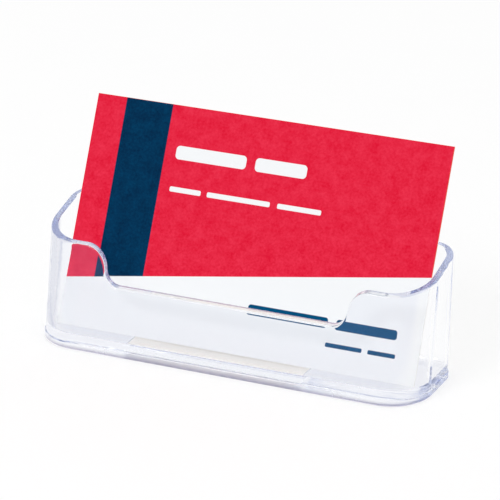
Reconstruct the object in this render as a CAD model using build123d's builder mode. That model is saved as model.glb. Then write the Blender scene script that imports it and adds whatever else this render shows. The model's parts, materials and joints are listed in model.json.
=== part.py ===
"""Clear desk stand for business cards: a leaning walled body on a stepped base plate, with one card in it.

Millimetres, +Z up. The front faces -Y. The origin is on the table, under the middle of the base plate.
"""

from build123d import *

import os
from math import acos, asin, atan2, cos, degrees, hypot, radians, sin, tan

# The card that the stand is made for
card_width = 90.0
card_height = 55.0
card_thickness = 0.4
card_offset_x = 0.5  # the card stands a little to the right of the middle

# Body walls, with the plan measured at table height
wall = 1.6
card_side_play = 1.9  # room beside the card, left and right
body_depth = 24.9
front_lean = 9.5  # degrees that the front wall leans back
back_lean = 4.4
front_corner_radius = 9.9
back_corner_radius = 5.5

# Rim: one sloping plane from the front horns to the back corners
horn_height = 25.1  # at the outer face of the front wall
rim_slope = 14.2  # degrees, rising to the back
rim_outer_round = 0.5
rim_inner_break = 0.2

# Scoop in the front wall, measured square to the rim plane
horn_width = 18.1  # from the side of the body to the steep part of the shoulder
scoop_depth = 8.2

# Raised middle of the back wall, which the card leans on
panel_inset = 12.5  # from the side of the body to the steep part of the shoulder
panel_height = 46.6  # top above the table, at the outer face

# Bends of the rim beside the scoop and the raised panel
shoulder_radius = 5.2  # where the rim turns down
hollow_radius = 3.65  # where it turns level again

# Base plate: a flange under the walls and a plug that fills the space between them
flange_thickness = 1.7
flange_lip = 0.25  # stands proud of the walls all round
flange_foot_break = 0.4
flange_top_break = 0.15
plug_height = 1.6
bond_gap = 0.06  # thickness of the glue between two pieces

# Foam pad let into the underside
pad_length = 44.5
pad_depth = 17.5
pad_thickness = 0.8
pad_offset_x = -2.6
pad_clearance = 0.15

# How the card stands
card_foot_gap = 4.4  # from the front wall's inner face to the card's lower back edge, along the floor
card_seat_gap = 0.05
card_rest_gap = 0.15

body_width = card_width + 2 * (card_side_play + wall)
scoop_width = body_width - 2 * horn_width
panel_width = body_width - 2 * panel_inset
floor_height = flange_thickness + plug_height
loft_top = panel_height + wall  # the walls are lofted past the panel and then trimmed
cut_reach = body_depth + panel_height
cut_width = 2 * body_width
cut_top = 2 * panel_height
shortest_run = 0.01  # below this the two arcs of a shoulder meet with no line between them


def front_face(height, inset=0.0):
    """Y of the front wall at a height, moved in from the outer face."""
    return -body_depth / 2 + height * tan(radians(front_lean)) + inset


def back_face(height, inset=0.0):
    """Y of the back wall at a height, moved in from the outer face."""
    return body_depth / 2 + height * tan(radians(back_lean)) - inset


def wall_plan(height, inset=0.0):
    """Sketch the plan of the leaning walls at a height, moved in from the outer face."""
    front = front_face(height, inset)
    back = back_face(height, inset)
    with BuildSketch(Plane.XY.offset(height)) as plan:
        with Locations((0, (front + back) / 2)):
            Rectangle(body_width - 2 * inset, back - front)
        fillet(plan.vertices().group_by(Axis.Y)[0], front_corner_radius - inset)
        fillet(plan.vertices().group_by(Axis.Y)[-1], back_corner_radius - inset)
    return plan.sketch


def above_rim(middle_width, rise, outer_radius, inner_radius):
    """Sketch all that lies above a rim line whose middle is raised, or sunk where rise is negative.

    Two arcs join the middle to the rim line on each side. They meet upright, with a straight run
    between them where the rise is large enough, and at a slant where it is not.
    """
    radii = outer_radius + inner_radius
    turn = acos(max(0.0, 1 - abs(rise) / radii))
    straight = abs(rise) - radii * (1 - cos(turn))
    side = 1 if rise < 0 else -1
    middle_end = middle_width / 2 - inner_radius * sin(turn)
    with BuildSketch() as region:
        with BuildLine():
            middle = Line((0, rise), (middle_end, rise))
            bend = JernArc(middle @ 1, middle % 1, inner_radius, side * degrees(turn))
            if straight > shortest_run:
                bend = Line(bend @ 1, bend @ 1 + (bend % 1) * straight)
            bend = JernArc(bend @ 1, bend % 1, outer_radius, -side * degrees(turn))
            Polyline(bend @ 1, (cut_width / 2, 0), (cut_width / 2, cut_top), (0, cut_top))
            mirror(about=Plane.YZ)
        make_face()
    return region.sketch


def rim_edges(part, inset):
    """Pick the rim edges that lie on the wall face at an inset from the outer face."""
    wall_face = loft((wall_plan(0, inset), wall_plan(loft_top, inset)), ruled=True, mode=Mode.PRIVATE)
    high = part.edges().filter_by(lambda edge: edge.bounding_box().min.Z > floor_height)
    return high.filter_by(lambda edge: wall_face.shell().distance_to(edge @ 0.5) < shortest_run)


# The rim plane passes through the front wall's outer edge and climbs to the back
slope = radians(rim_slope)
along_rim = Vector(0, cos(slope), sin(slope))
rim_middle = Vector(0, front_face(horn_height), horn_height) + along_rim * (body_depth / 2)
across_rim = Plane(origin=rim_middle, x_dir=(1, 0, 0), z_dir=-along_rim)
panel_top = Vector(0, back_face(panel_height), panel_height)
panel_rise = across_rim.to_local_coords(panel_top).Y

# Body: leaning walls, trimmed in front by the scooped rim and behind by the raised rim
with BuildPart() as holder_body:
    loft((wall_plan(flange_thickness + bond_gap), wall_plan(loft_top)), ruled=True)
    loft((wall_plan(0, wall), wall_plan(loft_top + wall, wall)), ruled=True, mode=Mode.SUBTRACT)
    with BuildSketch(across_rim):
        add(above_rim(scoop_width, -scoop_depth, shoulder_radius, hollow_radius))
    extrude(amount=cut_reach, mode=Mode.SUBTRACT)
    with BuildSketch(across_rim):
        add(above_rim(panel_width, panel_rise, hollow_radius, shoulder_radius))
    extrude(amount=-cut_reach, mode=Mode.SUBTRACT)
    fillet(rim_edges(holder_body.part, 0), rim_outer_round)
    chamfer(rim_edges(holder_body.part, wall), rim_inner_break)
holder_body.part.label = "holder_body"

# Base plate: flange, plug and the recess for the pad
with BuildPart() as base_plate:
    extrude(wall_plan(flange_thickness, -flange_lip), amount=-flange_thickness)
    chamfer(base_plate.edges().group_by(Axis.Z)[0], flange_foot_break)
    chamfer(base_plate.edges().group_by(Axis.Z)[-1], flange_top_break)
    plug_inset = wall + bond_gap
    loft((wall_plan(flange_thickness, plug_inset), wall_plan(floor_height, plug_inset)), ruled=True)
    with BuildSketch():
        with Locations((pad_offset_x, 0)):
            Rectangle(pad_length + 2 * pad_clearance, pad_depth + 2 * pad_clearance)
    extrude(amount=pad_thickness + bond_gap, mode=Mode.SUBTRACT)
base_plate.part.label = "base_plate"

# Pad: flush with the underside of the flange
with BuildPart() as grip_pad:
    with BuildSketch():
        with Locations((pad_offset_x, 0)):
            Rectangle(pad_length, pad_depth)
    extrude(amount=pad_thickness)
grip_pad.part.label = "grip_pad"

# Card: its foot is on the floor and its back lies on the broken top edge of the raised panel
foot_height = floor_height + card_seat_gap
rest_height = panel_height - wall * tan(slope) - rim_inner_break
rest_y = back_face(rest_height, inset=wall)
foot_y = front_face(floor_height, inset=wall) + card_foot_gap
rest_reach = hypot(rest_y - foot_y, rest_height - foot_height)
rest_angle = atan2(rest_y - foot_y, rest_height - foot_height)
card_lean = rest_angle - asin(card_rest_gap / rest_reach)
card_foot = Vector(card_offset_x, foot_y, foot_height)
card_normal = Vector(0, -cos(card_lean), sin(card_lean))
with BuildPart() as business_card:
    with BuildSketch(Plane(origin=card_foot, x_dir=(1, 0, 0), z_dir=card_normal)):
        Rectangle(card_width, card_height, align=(Align.CENTER, Align.MIN))
    extrude(amount=card_thickness)
business_card.part.label = "business_card"

os.makedirs("parts", exist_ok=True)
for piece in (holder_body, base_plate, grip_pad, business_card):
    export_step(piece.part, f"parts/{piece.part.label}.step")
print(f"The card leans back {degrees(card_lean):.3f} degrees")
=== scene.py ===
"""Dressed model of a clear desk stand for business cards, with one printed card leaning in it.

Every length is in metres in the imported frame: +X to the right, -Y to the front, +Z up. The places of
the print are in millimetres on the card, and so are the camera's lens and sensor.
"""

import json
import logging
from dataclasses import dataclass
from enum import Enum
from math import radians, tan
from typing import Any, Iterable, Protocol

import bmesh
import bpy
from mathutils import Matrix, Vector


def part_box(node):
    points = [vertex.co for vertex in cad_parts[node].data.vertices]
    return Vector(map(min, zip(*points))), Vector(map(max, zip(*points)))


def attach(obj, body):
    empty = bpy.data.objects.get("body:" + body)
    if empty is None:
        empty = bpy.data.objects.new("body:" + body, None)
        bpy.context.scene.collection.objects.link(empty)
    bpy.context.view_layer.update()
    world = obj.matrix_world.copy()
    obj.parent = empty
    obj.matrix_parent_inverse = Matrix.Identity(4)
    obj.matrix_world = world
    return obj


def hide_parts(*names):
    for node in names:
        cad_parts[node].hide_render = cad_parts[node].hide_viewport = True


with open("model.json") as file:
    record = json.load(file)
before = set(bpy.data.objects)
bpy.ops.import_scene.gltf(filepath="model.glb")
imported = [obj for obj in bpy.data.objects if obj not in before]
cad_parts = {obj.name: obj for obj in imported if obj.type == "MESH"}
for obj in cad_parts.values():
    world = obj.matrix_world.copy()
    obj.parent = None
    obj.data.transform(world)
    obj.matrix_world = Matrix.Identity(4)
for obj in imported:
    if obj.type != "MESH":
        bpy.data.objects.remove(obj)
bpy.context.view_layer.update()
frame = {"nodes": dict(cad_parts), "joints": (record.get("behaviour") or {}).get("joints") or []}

Colour = tuple[float, float, float]
Place = tuple[float, float, float]
Socket = bpy.types.NodeSocket

LOG = logging.getLogger("card_stand")
MM = 0.001
WHITE: Colour = (1.0, 1.0, 1.0)
ORIGIN: Place = (0.0, 0.0, 0.0)
IN_PLAN: Place = (1.0, 1.0, 0.0)


class Body(Enum):
    """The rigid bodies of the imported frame."""

    STAND = "stand"
    CARD = "card"


class Slot(Enum):
    """The record's material slots."""

    CLEAR_BODY = "clear_body"
    CLEAR_BASE = "clear_base"
    PAD = "pad_foam"
    CARD = "card_stock"


def linear(red: int, green: int, blue: int) -> Colour:
    """Turn a screen colour into the linear values that shaders take.

    Args:
        red: Red from 0 to 255.
        green: Green from 0 to 255.
        blue: Blue from 0 to 255.

    Returns:
        The linear red, green and blue.
    """

    def one(value: int) -> float:
        """Straighten one channel by the standard curve of screens."""
        share = value / 255
        return share / 12.92 if share <= 0.04045 else ((share + 0.055) / 1.055) ** 2.4

    return one(red), one(green), one(blue)


class Nodes:
    """A small helper that writes shader nodes and links in order."""

    def __init__(self, tree: bpy.types.NodeTree) -> None:
        """Start with an empty tree."""
        self.tree = tree
        tree.nodes.clear()

    def add(self, kind: str, settings: dict[str, Any] | None = None, **sockets: Any) -> bpy.types.Node:
        """Add one node.

        Args:
            kind: Blender's node type, without its first word.
            settings: Properties of the node itself.
            **sockets: Values or output sockets for its inputs. A key is the input's name, with _ for a
                space, or iN for input number N.

        Returns:
            The new node.
        """
        node = self.tree.nodes.new(f"ShaderNode{kind}")
        for name, value in (settings or {}).items():
            setattr(node, name, value)
        for name, value in sockets.items():
            by_number = name[0] == "i" and name[1:].isdigit()
            socket = node.inputs[int(name[1:]) if by_number else name.replace("_", " ")]
            if isinstance(value, Socket):
                self.tree.links.new(value, socket)
            else:
                socket.default_value = value
        return node

    def surface(self) -> tuple[Socket, Socket]:
        """Read the place on the piece, and the direction that its surface faces."""
        where = self.add("TexCoord").outputs
        return where["Object"], where["Normal"]

    def apart(self, vector: Socket) -> tuple[Socket, ...]:
        """Split a vector into its x, y and z."""
        return tuple(self.add("SeparateXYZ", None, Vector=vector).outputs)

    def math(self, operation: str, first: Any, second: Any = 0.0, clamp: bool = False) -> Socket:
        """Add a math node.

        Args:
            operation: Blender's name of the operation.
            first: First value or socket.
            second: Second value or socket.
            clamp: Whether the result is held between 0 and 1.

        Returns:
            The result's socket.
        """
        settings = {"operation": operation, "use_clamp": clamp}
        return self.add("Math", settings, i0=first, i1=second).outputs[0]

    def vector(self, operation: str, first: Socket, second: Place = ORIGIN) -> Socket:
        """Add a vector math node whose result is a vector.

        Args:
            operation: Blender's name of the operation.
            first: Socket with the first vector.
            second: Second vector.

        Returns:
            The result's socket.
        """
        return self.add("VectorMath", {"operation": operation}, i0=first, i1=second).outputs["Vector"]

    def measure(self, operation: str, first: Socket, second: Any = ORIGIN) -> Socket:
        """Add a vector math node whose result is a number.

        Args:
            operation: Blender's name of the operation.
            first: Socket with the first vector.
            second: Second vector or socket.

        Returns:
            The result's socket.
        """
        return self.add("VectorMath", {"operation": operation}, i0=first, i1=second).outputs["Value"]

    def scaled(self, value: Socket, factor: float, shift: float) -> Socket:
        """Multiply a value and add to it.

        Args:
            value: The socket to change.
            factor: What it is multiplied by.
            shift: What is added then.

        Returns:
            The result's socket.
        """
        return self.add("Math", {"operation": "MULTIPLY_ADD"}, i0=value, i1=factor, i2=shift).outputs[0]

    def inverse(self, share: Socket) -> Socket:
        """Turn a share into what is left of 1."""
        return self.math("SUBTRACT", 1.0, share)

    def between(self, value: Socket, low: float, high: float) -> Socket:
        """Give 1 where a value lies between two bounds, and 0 elsewhere."""
        above = self.math("GREATER_THAN", value, low)
        return self.math("MULTIPLY", above, self.math("LESS_THAN", value, high))

    def step(self, value: Socket, edge: float, blur: float) -> Socket:
        """Give 1 where a value is above an edge and 0 below it, with a ramp between.

        Args:
            value: The socket to compare.
            edge: Where the middle of the ramp is.
            blur: Width of the ramp.

        Returns:
            The step's socket.
        """
        return self.math("DIVIDE", self.math("SUBTRACT", value, edge - blur / 2), blur, clamp=True)

    def blend(self, share: Socket, low: Any, high: Any) -> Socket:
        """Mix two numbers, which a mix node takes at its inputs 2 and 3.

        Args:
            share: How much of the second number there is.
            low: Number or socket at a share of 0.
            high: Number or socket at a share of 1.

        Returns:
            The mixed number's socket.
        """
        return self.add("Mix", {"data_type": "FLOAT"}, i0=share, i2=low, i3=high).outputs[0]

    def tint(self, share: Socket, low: Any, high: Any) -> Socket:
        """Mix two colours, which a mix node takes at its inputs 6 and 7.

        Args:
            share: How much of the second colour there is.
            low: Colour or socket at a share of 0.
            high: Colour or socket at a share of 1.

        Returns:
            The mixed colour's socket.
        """
        ends = [end if isinstance(end, Socket) else (*end, 1.0) for end in (low, high)]
        return self.add("Mix", {"data_type": "RGBA"}, i0=share, i6=ends[0], i7=ends[1]).outputs[2]

    def noise(self, where: Socket, scale: float, detail: float, rough: float = 0.5) -> Socket:
        """Add a noise texture.

        Args:
            where: Socket with the coordinates.
            scale: Waves for each unit of the coordinates.
            detail: Number of finer layers.
            rough: How strong the finer layers are.

        Returns:
            The noise's value socket.
        """
        node = self.add("TexNoise", None, Vector=where, Scale=scale, Detail=detail, Roughness=rough)
        return node.outputs[0]

    def bump(self, height: Socket, depth: float, strength: float = 1.0) -> Socket:
        """Add a bump.

        Args:
            height: Socket with the relief, from 0 to 1.
            depth: How deep the relief is.
            strength: How much of it shows.

        Returns:
            The bent normal's socket.
        """
        return self.add("Bump", None, Strength=strength, Distance=depth, Height=height).outputs[0]

    def box(self, where: Socket, centre: Place, half: Place, radius: float, blur: float) -> Socket:
        """Mask a box with rounded corners and a soft edge.

        Args:
            where: Socket with the coordinates.
            centre: The middle of the box.
            half: Half its size along each axis, without the rounding.
            radius: The rounding of its corners, which is added all round.
            blur: Width of the soft edge.

        Returns:
            The mask's socket, 1 in the box.
        """
        away = self.vector("ABSOLUTE", self.vector("SUBTRACT", where, centre))
        away = self.vector("MAXIMUM", self.vector("SUBTRACT", away, half))
        return self.inverse(self.step(self.measure("LENGTH", away), radius, blur))

    def end(self, surface: bpy.types.Node, **sockets: Any) -> None:
        """Lead the last shader to the material's output, with further sockets by name."""
        self.add("OutputMaterial", None, Surface=surface.outputs[0], **sockets)


def new_material(name: str) -> tuple[bpy.types.Material, Nodes]:
    """Make an empty node material.

    Args:
        name: The material's name.

    Returns:
        The material, and the helper that writes its nodes.
    """
    material = bpy.data.materials.new(name)
    material.use_nodes = True
    return material, Nodes(material.node_tree)


class Finish(Protocol):
    """Anything that can write itself as a material."""

    def material(self) -> bpy.types.Material:
        """Write the material."""


@dataclass(frozen=True)
class GluedFaces:
    """The faces of the joint between body and base plate, where clear glue lets light go straight on.

    The level ones lie at the top of the flange, and the upright ones between there and the top of the
    plug. Where the piece also has free upright faces at that height, only those that look inward count.
    """

    inward: bool
    level_low: float = 1.6 * MM
    level_high: float = 1.8 * MM
    plug_top: float = 3.3 * MM
    facing_up: float = 0.9
    facing_side: float = 0.5

    def outward(self, nodes: Nodes, place: Socket, normal: Socket) -> Socket:
        """Measure how much the surface looks away from the stand's middle.

        Args:
            nodes: The material's helper.
            place: The place on the piece.
            normal: The direction that the surface faces.

        Returns:
            The measure's socket, below 0 where the surface looks inward.
        """
        plan = nodes.vector("MULTIPLY", place, IN_PLAN)
        away = nodes.measure("DOT_PRODUCT", plan, normal)
        # A ray inside the plastic meets the normal turned round, so there the sign is turned back
        sign = nodes.scaled(nodes.add("NewGeometry").outputs["Backfacing"], -2.0, 1.0)
        return nodes.math("MULTIPLY", away, sign)

    def mask(self, nodes: Nodes, place: Socket, normal: Socket) -> Socket:
        """Find the glued faces by their heights and by the way they face.

        Args:
            nodes: The material's helper.
            place: The place on the piece.
            normal: The direction that the surface faces.

        Returns:
            The mask's socket, 1 on a glued face.
        """
        height = nodes.apart(place)[2]
        upward = nodes.math("ABSOLUTE", nodes.apart(normal)[2])
        level = nodes.math("GREATER_THAN", upward, self.facing_up)
        level = nodes.math("MULTIPLY", level, nodes.between(height, self.level_low, self.level_high))
        upright = nodes.math("LESS_THAN", upward, self.facing_side)
        upright = nodes.math("MULTIPLY", upright, nodes.between(height, self.level_high, self.plug_top))
        if self.inward:
            inner = nodes.math("LESS_THAN", self.outward(nodes, place, normal), 0.0)
            upright = nodes.math("MULTIPLY", upright, inner)
        return nodes.math("MAXIMUM", level, upright)


@dataclass(frozen=True)
class TrimmedRim:
    """The trimmed rim: duller than the moulded faces, with a line of painted edge shade along its inner
    edge in front.

    The line is mauve in the scoop and lavender on the horns. The front wall leans, so the line is found
    by its depth behind the outer face of that wall.
    """

    rough: float = 0.12
    # Tones of the painted edge shade line: mauve in the scoop, lavender on the horns
    mauve: Colour = linear(160, 150, 178)
    lavender: Colour = linear(205, 208, 230)
    scoop_half: float = 31.0 * MM
    scoop_fade: float = 8.0 * MM
    lowest: float = 10.0 * MM
    inside_half: float = 40.0 * MM
    facing_up: float = 0.35
    facing_side: float = 0.45
    facing_blur: float = 0.1
    wall_foot: float = -12.45 * MM
    wall_lean: float = radians(9.5)
    line_depth: float = 1.0 * MM
    line_fade: float = 0.4 * MM

    def mask(self, nodes: Nodes, place: Socket, normal: Socket) -> Socket:
        """Find the rim: what faces up, and what faces sideways away from the side walls.

        Args:
            nodes: The material's helper.
            place: The place on the piece.
            normal: The direction that the surface faces.

        Returns:
            The mask's socket, 1 on the rim.
        """
        faces = nodes.apart(nodes.vector("ABSOLUTE", normal))
        x, _, z = nodes.apart(nodes.vector("ABSOLUTE", place))
        upward = nodes.step(faces[2], self.facing_up, self.facing_blur)
        sideways = nodes.step(faces[0], self.facing_side, self.facing_blur)
        inside = nodes.math("LESS_THAN", x, self.inside_half)
        trimmed = nodes.math("MAXIMUM", upward, nodes.math("MULTIPLY", sideways, inside))
        return nodes.math("MULTIPLY", trimmed, nodes.math("GREATER_THAN", z, self.lowest))

    def colour(self, nodes: Nodes, place: Socket, mask: Socket) -> Socket:
        """Paint the line of edge shade on the rim, in the stand's front half.

        Args:
            nodes: The material's helper.
            place: The place on the piece.
            mask: Where the rim is.

        Returns:
            The colour's socket, white off the line.
        """
        x, y, z = nodes.apart(place)
        depth = nodes.math("SUBTRACT", y, nodes.scaled(z, tan(self.wall_lean), self.wall_foot))
        before = nodes.math("LESS_THAN", y, 0.0)
        # Painted edge shade: a tint on the rim's far part, standing in for the dark refraction at that
        # edge
        line = nodes.math("MULTIPLY", before, nodes.step(depth, self.line_depth, self.line_fade))
        horn = nodes.step(nodes.math("ABSOLUTE", x), self.scoop_half, self.scoop_fade)
        tone = nodes.tint(horn, self.mauve, self.lavender)
        return nodes.tint(nodes.math("MULTIPLY", mask, line), WHITE, tone)


@dataclass(frozen=True)
class DulledFootWithPaintedShade:
    """The outer sides of the foot: dulled by use all round, and darkened in front with painted contact
    shade, most at the bottom.
    """

    rough: float = 0.4
    corner_rough: float = 0.06
    middle_half: float = 30.0 * MM
    middle_fade: float = 10.0 * MM
    # Painted contact shade along the foot, where it meets the floor
    painted_foot_shade: Colour = linear(154, 147, 171)
    foot_shade_top: float = 0.85 * MM
    foot_shade_top_fade: float = 0.8 * MM
    foot_shade_back: float = -6.0 * MM
    foot_shade_back_fade: float = 8.0 * MM
    flange_top: float = 1.75 * MM
    outer_x: float = 38.0 * MM
    outer_y: float = 11.0 * MM
    facing_down: float = 0.85

    def sides(self, nodes: Nodes, place: Socket, normal: Socket) -> Socket:
        """Find the outer sides of the flange by their height and place, without the underside.

        Args:
            nodes: The material's helper.
            place: The place on the piece.
            normal: The direction that the surface faces.

        Returns:
            The mask's socket, 1 on the sides.
        """
        x, y, z = nodes.apart(nodes.vector("ABSOLUTE", place))
        outer = nodes.math("GREATER_THAN", x, self.outer_x)
        outer = nodes.math("MAXIMUM", outer, nodes.math("GREATER_THAN", y, self.outer_y))
        level = nodes.math("ABSOLUTE", nodes.apart(normal)[2])
        low = nodes.math("LESS_THAN", z, self.flange_top)
        low = nodes.math("MULTIPLY", low, nodes.math("LESS_THAN", level, self.facing_down))
        return nodes.math("MULTIPLY", low, outer)

    def dullness(self, nodes: Nodes, place: Socket) -> Socket:
        """Write the roughness of the sides, which is lower toward the corners.

        Args:
            nodes: The material's helper.
            place: The place on the piece.

        Returns:
            The roughness's socket.
        """
        aside = nodes.math("ABSOLUTE", nodes.apart(place)[0])
        corner = nodes.step(aside, self.middle_half, self.middle_fade)
        return nodes.blend(corner, self.rough, self.corner_rough)

    def colour(self, nodes: Nodes, place: Socket, sides: Socket) -> Socket:
        """Paint contact shade on the foot of the sides, which fades out upward and behind the front
        corners.

        Args:
            nodes: The material's helper.
            place: The place on the piece.
            sides: Where the outer sides are.

        Returns:
            The colour's socket, white where no shade is painted.
        """
        _, y, z = nodes.apart(place)
        low = nodes.inverse(nodes.step(z, self.foot_shade_top, self.foot_shade_top_fade))
        front = nodes.inverse(nodes.step(y, self.foot_shade_back, self.foot_shade_back_fade))
        painted_foot_shade = nodes.math("MULTIPLY", nodes.math("MULTIPLY", sides, low), front)
        return nodes.tint(painted_foot_shade, WHITE, self.painted_foot_shade)


@dataclass(frozen=True)
class ClearPlastic:
    """Clear moulded plastic with a lavender cast, a slow ripple and a breath of haze."""

    name: str
    glued: GluedFaces
    rim: TrimmedRim | None = None
    dulling_and_shade: DulledFootWithPaintedShade | None = None
    ior: float = 1.53
    glue_ior: float = 1.001
    absorb: Colour = (0.28, 0.40, 0.76)
    density: float = 7.0
    ripple_scale: float = 60.0
    ripple_detail: float = 0.0
    ripple_depth: float = 0.003 * MM
    haze_scale: float = 300.0
    haze_detail: float = 1.0
    haze: float = 0.006

    def material(self) -> bpy.types.Material:
        """Write the material.

        Returns:
            The finished material.
        """
        material, nodes = new_material(self.name)
        place, normal = nodes.surface()
        colour: Any = (*WHITE, 1.0)
        rough = nodes.scaled(nodes.noise(place, self.haze_scale, self.haze_detail), self.haze, 0.0)
        if self.rim:
            rim = self.rim.mask(nodes, place, normal)
            rough = nodes.blend(rim, rough, self.rim.rough)
            # The rim's painted edge shade
            colour = self.rim.colour(nodes, place, rim)
        if self.dulling_and_shade:
            sides = self.dulling_and_shade.sides(nodes, place, normal)
            rough = nodes.blend(sides, rough, self.dulling_and_shade.dullness(nodes, place))
            # Painted contact shade on the foot
            colour = self.dulling_and_shade.colour(nodes, place, sides)
        glued = self.glued.mask(nodes, place, normal)
        ripple = nodes.noise(place, self.ripple_scale, self.ripple_detail)
        shader = nodes.add(
            "BsdfPrincipled",
            None,
            Base_Color=colour,
            IOR=nodes.blend(glued, self.ior, self.glue_ior),
            Transmission_Weight=1.0,
            Roughness=nodes.blend(glued, rough, 0.0),
            Normal=nodes.bump(ripple, self.ripple_depth),
        )
        volume = nodes.add("VolumeAbsorption", None, Color=(*self.absorb, 1.0), Density=self.density)
        nodes.end(shader, Volume=volume.outputs[0])
        return material


@dataclass(frozen=True)
class PadFoam:
    """Closed-cell foam: a cream skin above and below, and cut sides painted pale grey as shade in the
    gap under the stand, darker at their foot.
    """

    name: str = Slot.PAD.value
    pale: Colour = linear(254, 251, 245)
    deep: Colour = linear(248, 243, 234)
    # The grey of the cut sides is painted shade of the gap under the stand
    cut: Colour = linear(214, 217, 226)
    rough: float = 0.9
    facing_up: float = 0.5
    facing_blur: float = 0.1
    # Darker painted shade at the foot of the cut sides, fading toward the pad's ends
    painted_gap_shade: Colour = linear(206, 202, 205)
    gap_shade_top: float = 0.45 * MM
    gap_shade_top_fade: float = 0.7 * MM
    gap_shade_middle: float = -2.6 * MM
    gap_shade_half: float = 18.5 * MM
    gap_shade_end_fade: float = 7.0 * MM
    cloud_scale: float = 160.0
    pore_scale: float = 2600.0
    noise_detail: float = 2.0
    pore_depth: float = 0.08 * MM
    pore_strength: float = 0.5

    def unshaded(self, nodes: Nodes, place: Socket) -> Socket:
        """Find where the cut sides are free of the darker painted shade: above their foot, and toward
        the pad's ends.

        Args:
            nodes: The material's helper.
            place: The place on the piece.

        Returns:
            The mask's socket, 1 where the sides are free of the darker painted shade.
        """
        x, _, z = nodes.apart(place)
        aside = nodes.math("ABSOLUTE", nodes.math("SUBTRACT", x, self.gap_shade_middle))
        above = nodes.step(z, self.gap_shade_top, self.gap_shade_top_fade)
        return nodes.math("MAXIMUM", above, nodes.step(aside, self.gap_shade_half, self.gap_shade_end_fade))

    def material(self) -> bpy.types.Material:
        """Write the material.

        Returns:
            The finished material.
        """
        material, nodes = new_material(self.name)
        place, normal = nodes.surface()
        pores = nodes.noise(place, self.pore_scale, self.noise_detail)
        cloud = nodes.noise(place, self.cloud_scale, self.noise_detail)
        skin = nodes.tint(nodes.math("MULTIPLY", pores, cloud), self.pale, self.deep)
        # Painted gap shade on the cut sides
        side = nodes.tint(self.unshaded(nodes, place), self.painted_gap_shade, self.cut)
        upward = nodes.math("ABSOLUTE", nodes.apart(normal)[2])
        flat = nodes.step(upward, self.facing_up, self.facing_blur)
        shader = nodes.add(
            "BsdfPrincipled",
            None,
            Base_Color=nodes.tint(flat, side, skin),
            Roughness=self.rough,
            Normal=nodes.bump(pores, self.pore_depth, self.pore_strength),
        )
        nodes.end(shader)
        return material


@dataclass(frozen=True)
class CardLayout:
    """Where the fields of the print lie, in millimetres from the card's middle and its lower edge."""

    uv_map: str = "print"
    width: float = 90.0
    stripe_left: float = -37.44
    stripe_right: float = -25.4
    foot_left: float = 11.03
    foot_right: float = 24.86
    ink_edge: float = 0.12

    def spot(self, nodes: Nodes) -> Socket:
        """Read the place on the card."""
        return nodes.add("UVMap", {"uv_map": self.uv_map}).outputs[0]

    def above_foot(self, nodes: Nodes, spot: Socket) -> Socket:
        """Mask the inked field above the sloping top of the white foot.

        Args:
            nodes: The material's helper.
            spot: The place on the card.

        Returns:
            The mask's socket.
        """
        across, height, _ = nodes.apart(spot)
        slope = (self.foot_right - self.foot_left) / self.width
        top = nodes.scaled(across, slope, (self.foot_left + self.foot_right) / 2)
        return nodes.step(nodes.math("SUBTRACT", height, top), 0.0, self.ink_edge)

    def stripe(self, nodes: Nodes, spot: Socket) -> Socket:
        """Mask the upright stripe.

        Args:
            nodes: The material's helper.
            spot: The place on the card.

        Returns:
            The mask's socket.
        """
        across = nodes.apart(spot)[0]
        left = nodes.step(across, self.stripe_left, self.ink_edge)
        right = nodes.step(across, self.stripe_right, self.ink_edge)
        return nodes.math("MULTIPLY", left, nodes.inverse(right))


@dataclass(frozen=True)
class Bar:
    """One plain bar of ink with rounded ends: its centre and size on the card, in millimetres.

    The rounding is a share of its thickness.
    """

    x: float
    height: float
    length: float
    thick: float
    rounding: float = 0.3

    def mask(self, nodes: Nodes, spot: Socket, ink_edge: float) -> Socket:
        """Mask the bar.

        Args:
            nodes: The material's helper.
            spot: The place on the card.
            ink_edge: Width of the soft edge of the ink.

        Returns:
            The mask's socket.
        """
        radius = self.thick * self.rounding
        straight = (self.length / 2 - radius, self.thick / 2 - radius, 0.0)
        return nodes.box(spot, (self.x, self.height, 0.0), straight, radius, ink_edge)


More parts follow.
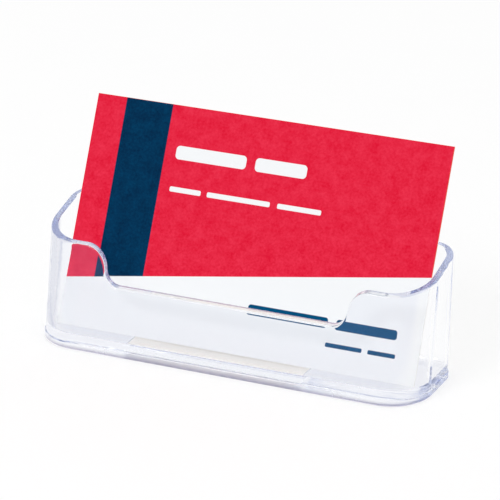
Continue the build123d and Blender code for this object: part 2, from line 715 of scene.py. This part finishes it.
@dataclass(frozen=True)
class CardPrint:
    """Ink on white stock: a mottled red field with a navy stripe, a white foot, and plain bars."""

    name: str = Slot.CARD.value
    layout: CardLayout = CardLayout()
    red: Colour = linear(221, 20, 52)
    red_pale: Colour = linear(234, 50, 77)
    navy: Colour = linear(0, 38, 70)
    navy_pale: Colour = linear(0, 58, 94)
    blue: Colour = linear(0, 76, 118)
    white: Colour = linear(243, 245, 247)
    bars_on_red: tuple[Bar, ...] = (
        Bar(-13.6, 44.0, 18.0, 3.2),
        Bar(4.2, 44.0, 13.0, 3.2),
        Bar(-18.6, 35.3, 8.0, 1.2),
        Bar(-5.0, 35.3, 16.0, 1.2),
        Bar(10.4, 35.3, 11.0, 1.2),
    )
    bars_on_white: tuple[Bar, ...] = (
        Bar(12.2, 10.8, 20.0, 2.3),
        Bar(31.8, 10.8, 15.0, 2.3),
        Bar(27.2, 6.0, 9.0, 1.0),
        Bar(36.4, 6.0, 6.5, 1.0),
    )
    cloud_scale: float = 0.32
    cloud_rough: float = 0.6
    grain_scale: float = 1.6
    grain_rough: float = 0.65
    mottle_detail: float = 3.0
    mottle_middle: float = 0.5
    mottle_spread: float = 0.28
    fibre_scale: float = 7.0
    fibre_detail: float = 2.0
    fibre_depth: float = 0.02 * MM
    fibre_strength: float = 0.25
    rough: float = 0.6
    rough_spread: float = 0.15
    specular: float = 0.03

    def bars(self, nodes: Nodes, spot: Socket, bars: Iterable[Bar]) -> Socket:
        """Mask some bars together.

        Args:
            nodes: The material's helper.
            spot: The place on the card.
            bars: The bars to draw.

        Returns:
            The mask's socket.
        """
        mask: Any = 0.0
        for bar in bars:
            mask = nodes.math("MAXIMUM", mask, bar.mask(nodes, spot, self.layout.ink_edge))
        return mask

    def mottle(self, nodes: Nodes, spot: Socket) -> Socket:
        """Write the uneven take-up of the ink.

        Args:
            nodes: The material's helper.
            spot: The place on the card.

        Returns:
            The socket, from 0 where the ink is full to 1 where it is thin.
        """
        cloud = nodes.noise(spot, self.cloud_scale, self.mottle_detail, self.cloud_rough)
        grain = nodes.noise(spot, self.grain_scale, self.mottle_detail, self.grain_rough)
        mean = nodes.math("DIVIDE", nodes.math("ADD", cloud, grain), 2.0)
        return nodes.step(mean, self.mottle_middle, self.mottle_spread)

    def material(self) -> bpy.types.Material:
        """Write the material of the card's printed face.

        Returns:
            The finished material.
        """
        material, nodes = new_material(self.name)
        spot = self.layout.spot(nodes)
        thin = self.mottle(nodes, spot)
        red = nodes.tint(thin, self.red, self.red_pale)
        navy = nodes.tint(thin, self.navy, self.navy_pale)
        field = nodes.tint(self.layout.stripe(nodes, spot), red, navy)
        field = nodes.tint(self.bars(nodes, spot, self.bars_on_red), field, self.white)
        foot = nodes.tint(self.bars(nodes, spot, self.bars_on_white), self.white, self.blue)
        fibre = nodes.noise(spot, self.fibre_scale, self.fibre_detail)
        shader = nodes.add(
            "BsdfPrincipled",
            None,
            Base_Color=nodes.tint(self.layout.above_foot(nodes, spot), foot, field),
            Roughness=nodes.scaled(fibre, self.rough_spread, self.rough),
            Specular_IOR_Level=self.specular,
            Normal=nodes.bump(fibre, self.fibre_depth, self.fibre_strength),
        )
        nodes.end(shader)
        return material


@dataclass(frozen=True)
class CardStock:
    """Bare fibrous stock, stained above the white foot where the red ink runs over a cut edge."""

    name: str
    base: Colour = linear(246, 246, 244)
    deep: Colour = linear(236, 236, 235)
    stain: Colour | None = None
    layout: CardLayout = CardLayout()
    fibre_scale: float = 3.5
    fibre_detail: float = 3.0
    fibre_depth: float = 0.02 * MM
    fibre_strength: float = 0.3
    rough: float = 0.75
    specular: float = 0.1

    def material(self) -> bpy.types.Material:
        """Write the material.

        Returns:
            The finished material.
        """
        material, nodes = new_material(self.name)
        spot = self.layout.spot(nodes)
        fibre = nodes.noise(spot, self.fibre_scale, self.fibre_detail)
        colour = nodes.tint(fibre, self.base, self.deep)
        if self.stain:
            colour = nodes.tint(self.layout.above_foot(nodes, spot), colour, self.stain)
        shader = nodes.add(
            "BsdfPrincipled",
            None,
            Base_Color=colour,
            Roughness=self.rough,
            Specular_IOR_Level=self.specular,
            Normal=nodes.bump(fibre, self.fibre_depth, self.fibre_strength),
        )
        nodes.end(shader)
        return material


@dataclass(frozen=True)
class ClearStand:
    """The clear body on its base plate, with the pad under it."""

    body_finish: ClearPlastic = ClearPlastic(
        Slot.CLEAR_BODY.value, GluedFaces(inward=True), rim=TrimmedRim()
    )
    base_finish: ClearPlastic = ClearPlastic(
        Slot.CLEAR_BASE.value, GluedFaces(inward=False), dulling_and_shade=DulledFootWithPaintedShade(), density=3.0
    )
    pad_finish: PadFoam = PadFoam()

    def dress(self, nodes: dict[str, bpy.types.Object]) -> list[str]:
        """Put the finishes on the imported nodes.

        Args:
            nodes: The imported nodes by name.

        Returns:
            The names of the dressed nodes.
        """
        finishes: dict[str, Finish] = {
            "holder_body": self.body_finish,
            "base_plate": self.base_finish,
            "grip_pad": self.pad_finish,
        }
        for name, finish in finishes.items():
            materials = nodes[name].data.materials
            materials.clear()
            materials.append(finish.material())
        return list(finishes)


class Face(Enum):
    """The card's faces, in the order of its materials."""

    FRONT = 0
    BACK = 1
    EDGE = 2


@dataclass(frozen=True)
class PrintedCard:
    """The card: a thin sheet with softened edges, printed on its front."""

    width: float = CardLayout.width * MM
    height: float = 55.0 * MM
    thick: float = 0.4 * MM
    edge_break: float = 0.05 * MM
    front_finish: CardPrint = CardPrint()
    back_finish: CardStock = CardStock("card_back")
    edge_finish: CardStock = CardStock("card_edge", stain=linear(238, 108, 84))

    def stance(self, up: Vector) -> Matrix:
        """Find where the card stands in the pocket.

        Args:
            up: The direction along the card from its foot to its top.

        Returns:
            The place of the card's own axes: across, up, and out of its front, from its lower back edge.
        """
        low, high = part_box("business_card")
        out = Vector((0.0, -up.z, up.y))
        foot = Vector(((low.x + high.x) / 2, low.y - out.y * self.thick, low.z))
        across = Vector((1.0, 0.0, 0.0))
        return Matrix.Translation(foot) @ Matrix((across, up, out)).transposed().to_4x4()

    def shape(self) -> bmesh.types.BMesh:
        """Shape the sheet in its own axes, with the print laid out on it in millimetres.

        Returns:
            The sheet, with its lower back edge along the x axis.
        """
        sheet = bmesh.new()
        trim = self.edge_break
        rings = []
        for depth, pull in ((0.0, trim), (trim, 0.0), (self.thick - trim, 0.0), (self.thick, trim)):
            side, top = self.width / 2 - pull, self.height - pull
            corners = ((-side, pull), (side, pull), (side, top), (-side, top))
            rings.append([sheet.verts.new((x, y, depth)) for x, y in corners])
        for lower, upper in zip(rings, rings[1:]):
            for here in range(len(lower)):
                after = (here + 1) % len(lower)
                quad = (lower[here], lower[after], upper[after], upper[here])
                sheet.faces.new(quad).material_index = Face.EDGE.value
        sheet.faces.new(rings[-1]).material_index = Face.FRONT.value
        sheet.faces.new(list(reversed(rings[0]))).material_index = Face.BACK.value
        layer = sheet.loops.layers.uv.new(self.front_finish.layout.uv_map)
        for corner in (loop for face in sheet.faces for loop in face.loops):
            corner[layer].uv = (corner.vert.co.x / MM, corner.vert.co.y / MM)
        return sheet

    def build(self, up: Vector) -> bpy.types.Object:
        """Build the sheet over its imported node.

        Args:
            up: The direction along the card from its foot to its top.

        Returns:
            The card's object.
        """
        sheet = self.shape()
        sheet.transform(self.stance(up))
        mesh = bpy.data.meshes.new("business_card_sheet")
        sheet.to_mesh(mesh)
        sheet.free()
        card = bpy.data.objects.new("business_card_sheet", mesh)
        bpy.context.scene.collection.objects.link(card)
        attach(card, Body.CARD.value)
        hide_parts("business_card")
        return card

    def dress(self, card: bpy.types.Object) -> None:
        """Put the finishes on the sheet, in the order of its faces."""
        for finish in (self.front_finish, self.back_finish, self.edge_finish):
            card.data.materials.append(finish.material())


def look_along(thing: bpy.types.Object, direction: Vector) -> None:
    """Turn a lamp or a camera to look along a direction."""
    thing.rotation_euler = direction.to_track_quat("-Z", "Y").to_euler()


@dataclass(frozen=True)
class Lamp:
    """One square soft lamp that faces the stand."""

    name: str
    place: Place
    side: float
    watts: float
    aim: Place = (0.0, 0.0, 0.02)

    def build(self) -> None:
        """Hang the lamp."""
        data = bpy.data.lights.new(self.name, "AREA")
        data.shape = "SQUARE"
        data.size = self.side
        data.energy = self.watts
        lamp = bpy.data.objects.new(self.name, data)
        lamp.location = self.place
        look_along(lamp, Vector(self.aim) - Vector(self.place))
        bpy.context.scene.collection.objects.link(lamp)


@dataclass(frozen=True)
class Rays:
    """Sockets that tell the kinds of rays apart: each is 1 for its kind and 0 for the rest.

    They are the rays from the camera, those that a surface just mirrored or a clear part just bent,
    those among them that met nothing matte before, and those that were mirrored at least once.
    """

    camera: Socket
    through: Socket
    clear: Socket
    mirrored: Socket

    @classmethod
    def read(cls, nodes: Nodes) -> "Rays":
        """Read the path of the light.

        Args:
            nodes: The helper of a material or of the world.

        Returns:
            The sockets.
        """
        path = nodes.add("LightPath").outputs
        half = 0.5  # a depth is a whole number, so this lies between none and one
        through = nodes.math("MAXIMUM", path["Is Glossy Ray"], path["Is Transmission Ray"])
        straight = nodes.math("LESS_THAN", path["Diffuse Depth"], half)
        clear = nodes.math("MULTIPLY", through, straight)
        mirrored = nodes.math("GREATER_THAN", path["Glossy Depth"], half)
        return cls(path["Is Camera Ray"], through, clear, mirrored)


@dataclass(frozen=True)
class FloorShades:
    """The painted shades of the white floor that the clear parts show.

    A cool painted shade lies in front of the stand, and a painted shadow of the card in a spot behind
    it, for rays that were mirrored. A greyer painted shade lies on the left, beyond a slanting edge, and
    a painted contact shade under the stand, for all rays.
    """

    cool: Colour = linear(156, 173, 221)
    front_edge: float = -15.0 * MM
    front_fade: float = 40.0 * MM
    # The painted shadow of the card on the floor behind it
    spot: Place = (5.0 * MM, 42.0 * MM, 0.0)
    spot_half: Place = (6.0 * MM, 20.0 * MM, 0.0)
    spot_fade: float = 12.0 * MM
    grey: Colour = linear(166, 172, 200)
    left_edge: float = -50.0 * MM
    left_slant: float = 1.5
    left_fade: float = 18.0 * MM
    left_near: float = 0.6
    left_far: float = 0.33
    left_turn: float = 22.0 * MM
    left_turn_fade: float = 8.0 * MM
    # The painted contact shade under the stand
    under: float = 0.32
    under_half: Place = (46.0 * MM, 10.5 * MM, 0.0)
    under_fade: float = 4.0 * MM

    def cool_share(self, nodes: Nodes, place: Socket) -> Socket:
        """Find the cool painted shade: the floor in front, and the painted shadow of the card in a spot
        behind it.

        Args:
            nodes: The floor's helper.
            place: The place on the floor.

        Returns:
            The socket with the tone's share.
        """
        before = nodes.math("SUBTRACT", self.front_edge, nodes.apart(place)[1])
        before = nodes.step(before, self.front_fade / 2, self.front_fade)
        spot = nodes.box(place, self.spot, self.spot_half, self.spot_fade / 2, self.spot_fade)
        return nodes.math("MAXIMUM", before, spot)

    def grey_share(self, nodes: Nodes, place: Socket) -> Socket:
        """Find the greyer painted shade: the floor on the left, weaker further out, and the painted
        contact shade under the stand.

        Args:
            nodes: The floor's helper.
            place: The place on the floor.

        Returns:
            The socket with the tone's share.
        """
        x, y, _ = nodes.apart(place)
        beside = nodes.scaled(x, -self.left_slant, self.left_slant * self.left_edge)
        beside = nodes.math("SUBTRACT", beside, y)
        far = nodes.step(beside, self.left_turn, self.left_turn_fade)
        left = nodes.step(beside, self.left_fade / 2, self.left_fade)
        left = nodes.math("MULTIPLY", left, nodes.blend(far, self.left_near, self.left_far))
        under = nodes.box(place, ORIGIN, self.under_half, self.under_fade / 2, self.under_fade)
        return nodes.math("MAXIMUM", left, nodes.math("MULTIPLY", under, self.under))

    def colour(self, nodes: Nodes, place: Socket, rays: Rays) -> Socket:
        """Colour the floor as the clear parts show it.

        Args:
            nodes: The floor's helper.
            place: The place on the floor.
            rays: The kinds of rays.

        Returns:
            The colour's socket, white for the camera and off the shades.
        """
        grey = nodes.math("MULTIPLY", self.grey_share(nodes, place), rays.clear)
        cool = nodes.math("MULTIPLY", self.cool_share(nodes, place), rays.mirrored)
        cool = nodes.math("MULTIPLY", cool, rays.clear)
        return nodes.tint(cool, nodes.tint(grey, WHITE, self.grey), self.cool)


@dataclass(frozen=True)
class Studio:
    """White sweep, soft lamps, pale surroundings that are darker in front, and the camera."""

    camera_place: Place = (0.28917, -0.63525, 0.30779)
    camera_look: Place = (-0.3816, 0.8456, -0.3734)
    lens: float = 235.6
    sensor: float = 36.0
    clip_start: float = 0.01
    floor_drop: float = 0.05 * MM
    floor_side: float = 6.0
    floor_lift: float = 0.6
    floor_white: float = 1.06
    floor_deep: Colour = (0.94, 0.94, 0.94)
    floor_pale: Colour = (0.96, 0.96, 0.96)
    tooth_scale: float = 40.0
    tooth_detail: float = 2.0
    shades: FloorShades = FloorShades()
    front_power: float = 1.3
    ambient: float = 0.82
    bounces: int = 96
    lamps: tuple[Lamp, ...] = (
        Lamp("key_lamp", (-0.3, -0.9, 0.9), side=0.5, watts=3.1),
        Lamp("fill_lamp", (0.8, -0.4, 0.7), side=0.8, watts=0.4),
    )

    def floor(self) -> None:
        """Lay the floor: white to the camera with a soft shadow, and with painted shades in the clear
        parts.
        """
        bpy.ops.mesh.primitive_plane_add(size=self.floor_side, location=(0.0, 0.0, -self.floor_drop))
        floor = bpy.context.object
        floor.name = "studio_floor"
        material, nodes = new_material("studio_floor")
        place, _ = nodes.surface()
        tooth = nodes.noise(place, self.tooth_scale, self.tooth_detail)
        matte = nodes.add("BsdfDiffuse", None, Color=nodes.tint(tooth, self.floor_deep, self.floor_pale))
        rays = Rays.read(nodes)
        # Painted shades of the floor, shown only in the clear parts
        colour = self.shades.colour(nodes, place, rays)
        level = nodes.blend(rays.camera, 1.0, self.floor_white)
        glow = nodes.add("Emission", None, Color=colour, Strength=level)
        share = nodes.math("MULTIPLY", rays.camera, self.floor_lift)
        share = nodes.math("MAXIMUM", rays.through, share)
        nodes.end(nodes.add("MixShader", None, i0=share, i1=matte.outputs[0], i2=glow.outputs[0]))
        floor.data.materials.append(material)

    def surroundings(self) -> None:
        """Light the scene from all round: white to the camera, and cool in front in the clear parts."""
        world = bpy.data.worlds.new("studio")
        bpy.context.scene.world = world
        world.use_nodes = True
        nodes = Nodes(world.node_tree)
        rays = Rays.read(nodes)
        _, backward, upward = nodes.apart(nodes.add("TexCoord").outputs["Generated"])
        # From 0 straight behind the stand to 1 straight in front of it
        front = nodes.math("POWER", nodes.scaled(backward, -0.5, 0.5), self.front_power)
        low = nodes.math("SUBTRACT", 1.0, upward, clamp=True)
        cool = nodes.math("MULTIPLY", nodes.math("MULTIPLY", front, low), rays.clear)
        colour = nodes.tint(cool, WHITE, self.shades.cool)
        level = nodes.blend(nodes.math("MAXIMUM", rays.clear, rays.camera), self.ambient, 1.0)
        light = nodes.add("Background", None, Color=colour, Strength=level)
        nodes.add("OutputWorld", None, Surface=light.outputs[0])

    def camera(self) -> None:
        """Set the camera up as the photograph was taken."""
        data = bpy.data.cameras.new("camera")
        data.lens = self.lens
        data.sensor_width = self.sensor
        data.clip_start = self.clip_start
        camera = bpy.data.objects.new("camera", data)
        camera.location = self.camera_place
        look_along(camera, Vector(self.camera_look))
        bpy.context.scene.collection.objects.link(camera)
        bpy.context.scene.camera = camera

    def build(self) -> None:
        """Set up the whole studio, with light that is followed all the way through the clear walls."""
        self.floor()
        self.surroundings()
        self.camera()
        for lamp in self.lamps:
            lamp.build()
        scene = bpy.context.scene
        scene.view_settings.view_transform = "Standard"
        scene.cycles.max_bounces = self.bounces
        scene.cycles.transmission_bounces = self.bounces
        scene.cycles.glossy_bounces = self.bounces
        scene.cycles.blur_glossy = 0.0


def main() -> None:
    """Build the dressed model piece by piece."""
    logging.basicConfig(level=logging.INFO, format="%(name)s: %(message)s")
    Studio().build()
    for name in ClearStand().dress(frame["nodes"]):
        LOG.info("dressed %s on the body %s", name, Body.STAND.value)
    card = PrintedCard()
    sheet = card.build(Vector(frame["joints"][0]["axis"]).normalized())
    card.dress(sheet)
    LOG.info("built %s on the body %s", sheet.name, Body.CARD.value)


if __name__ == "__main__":
    main()
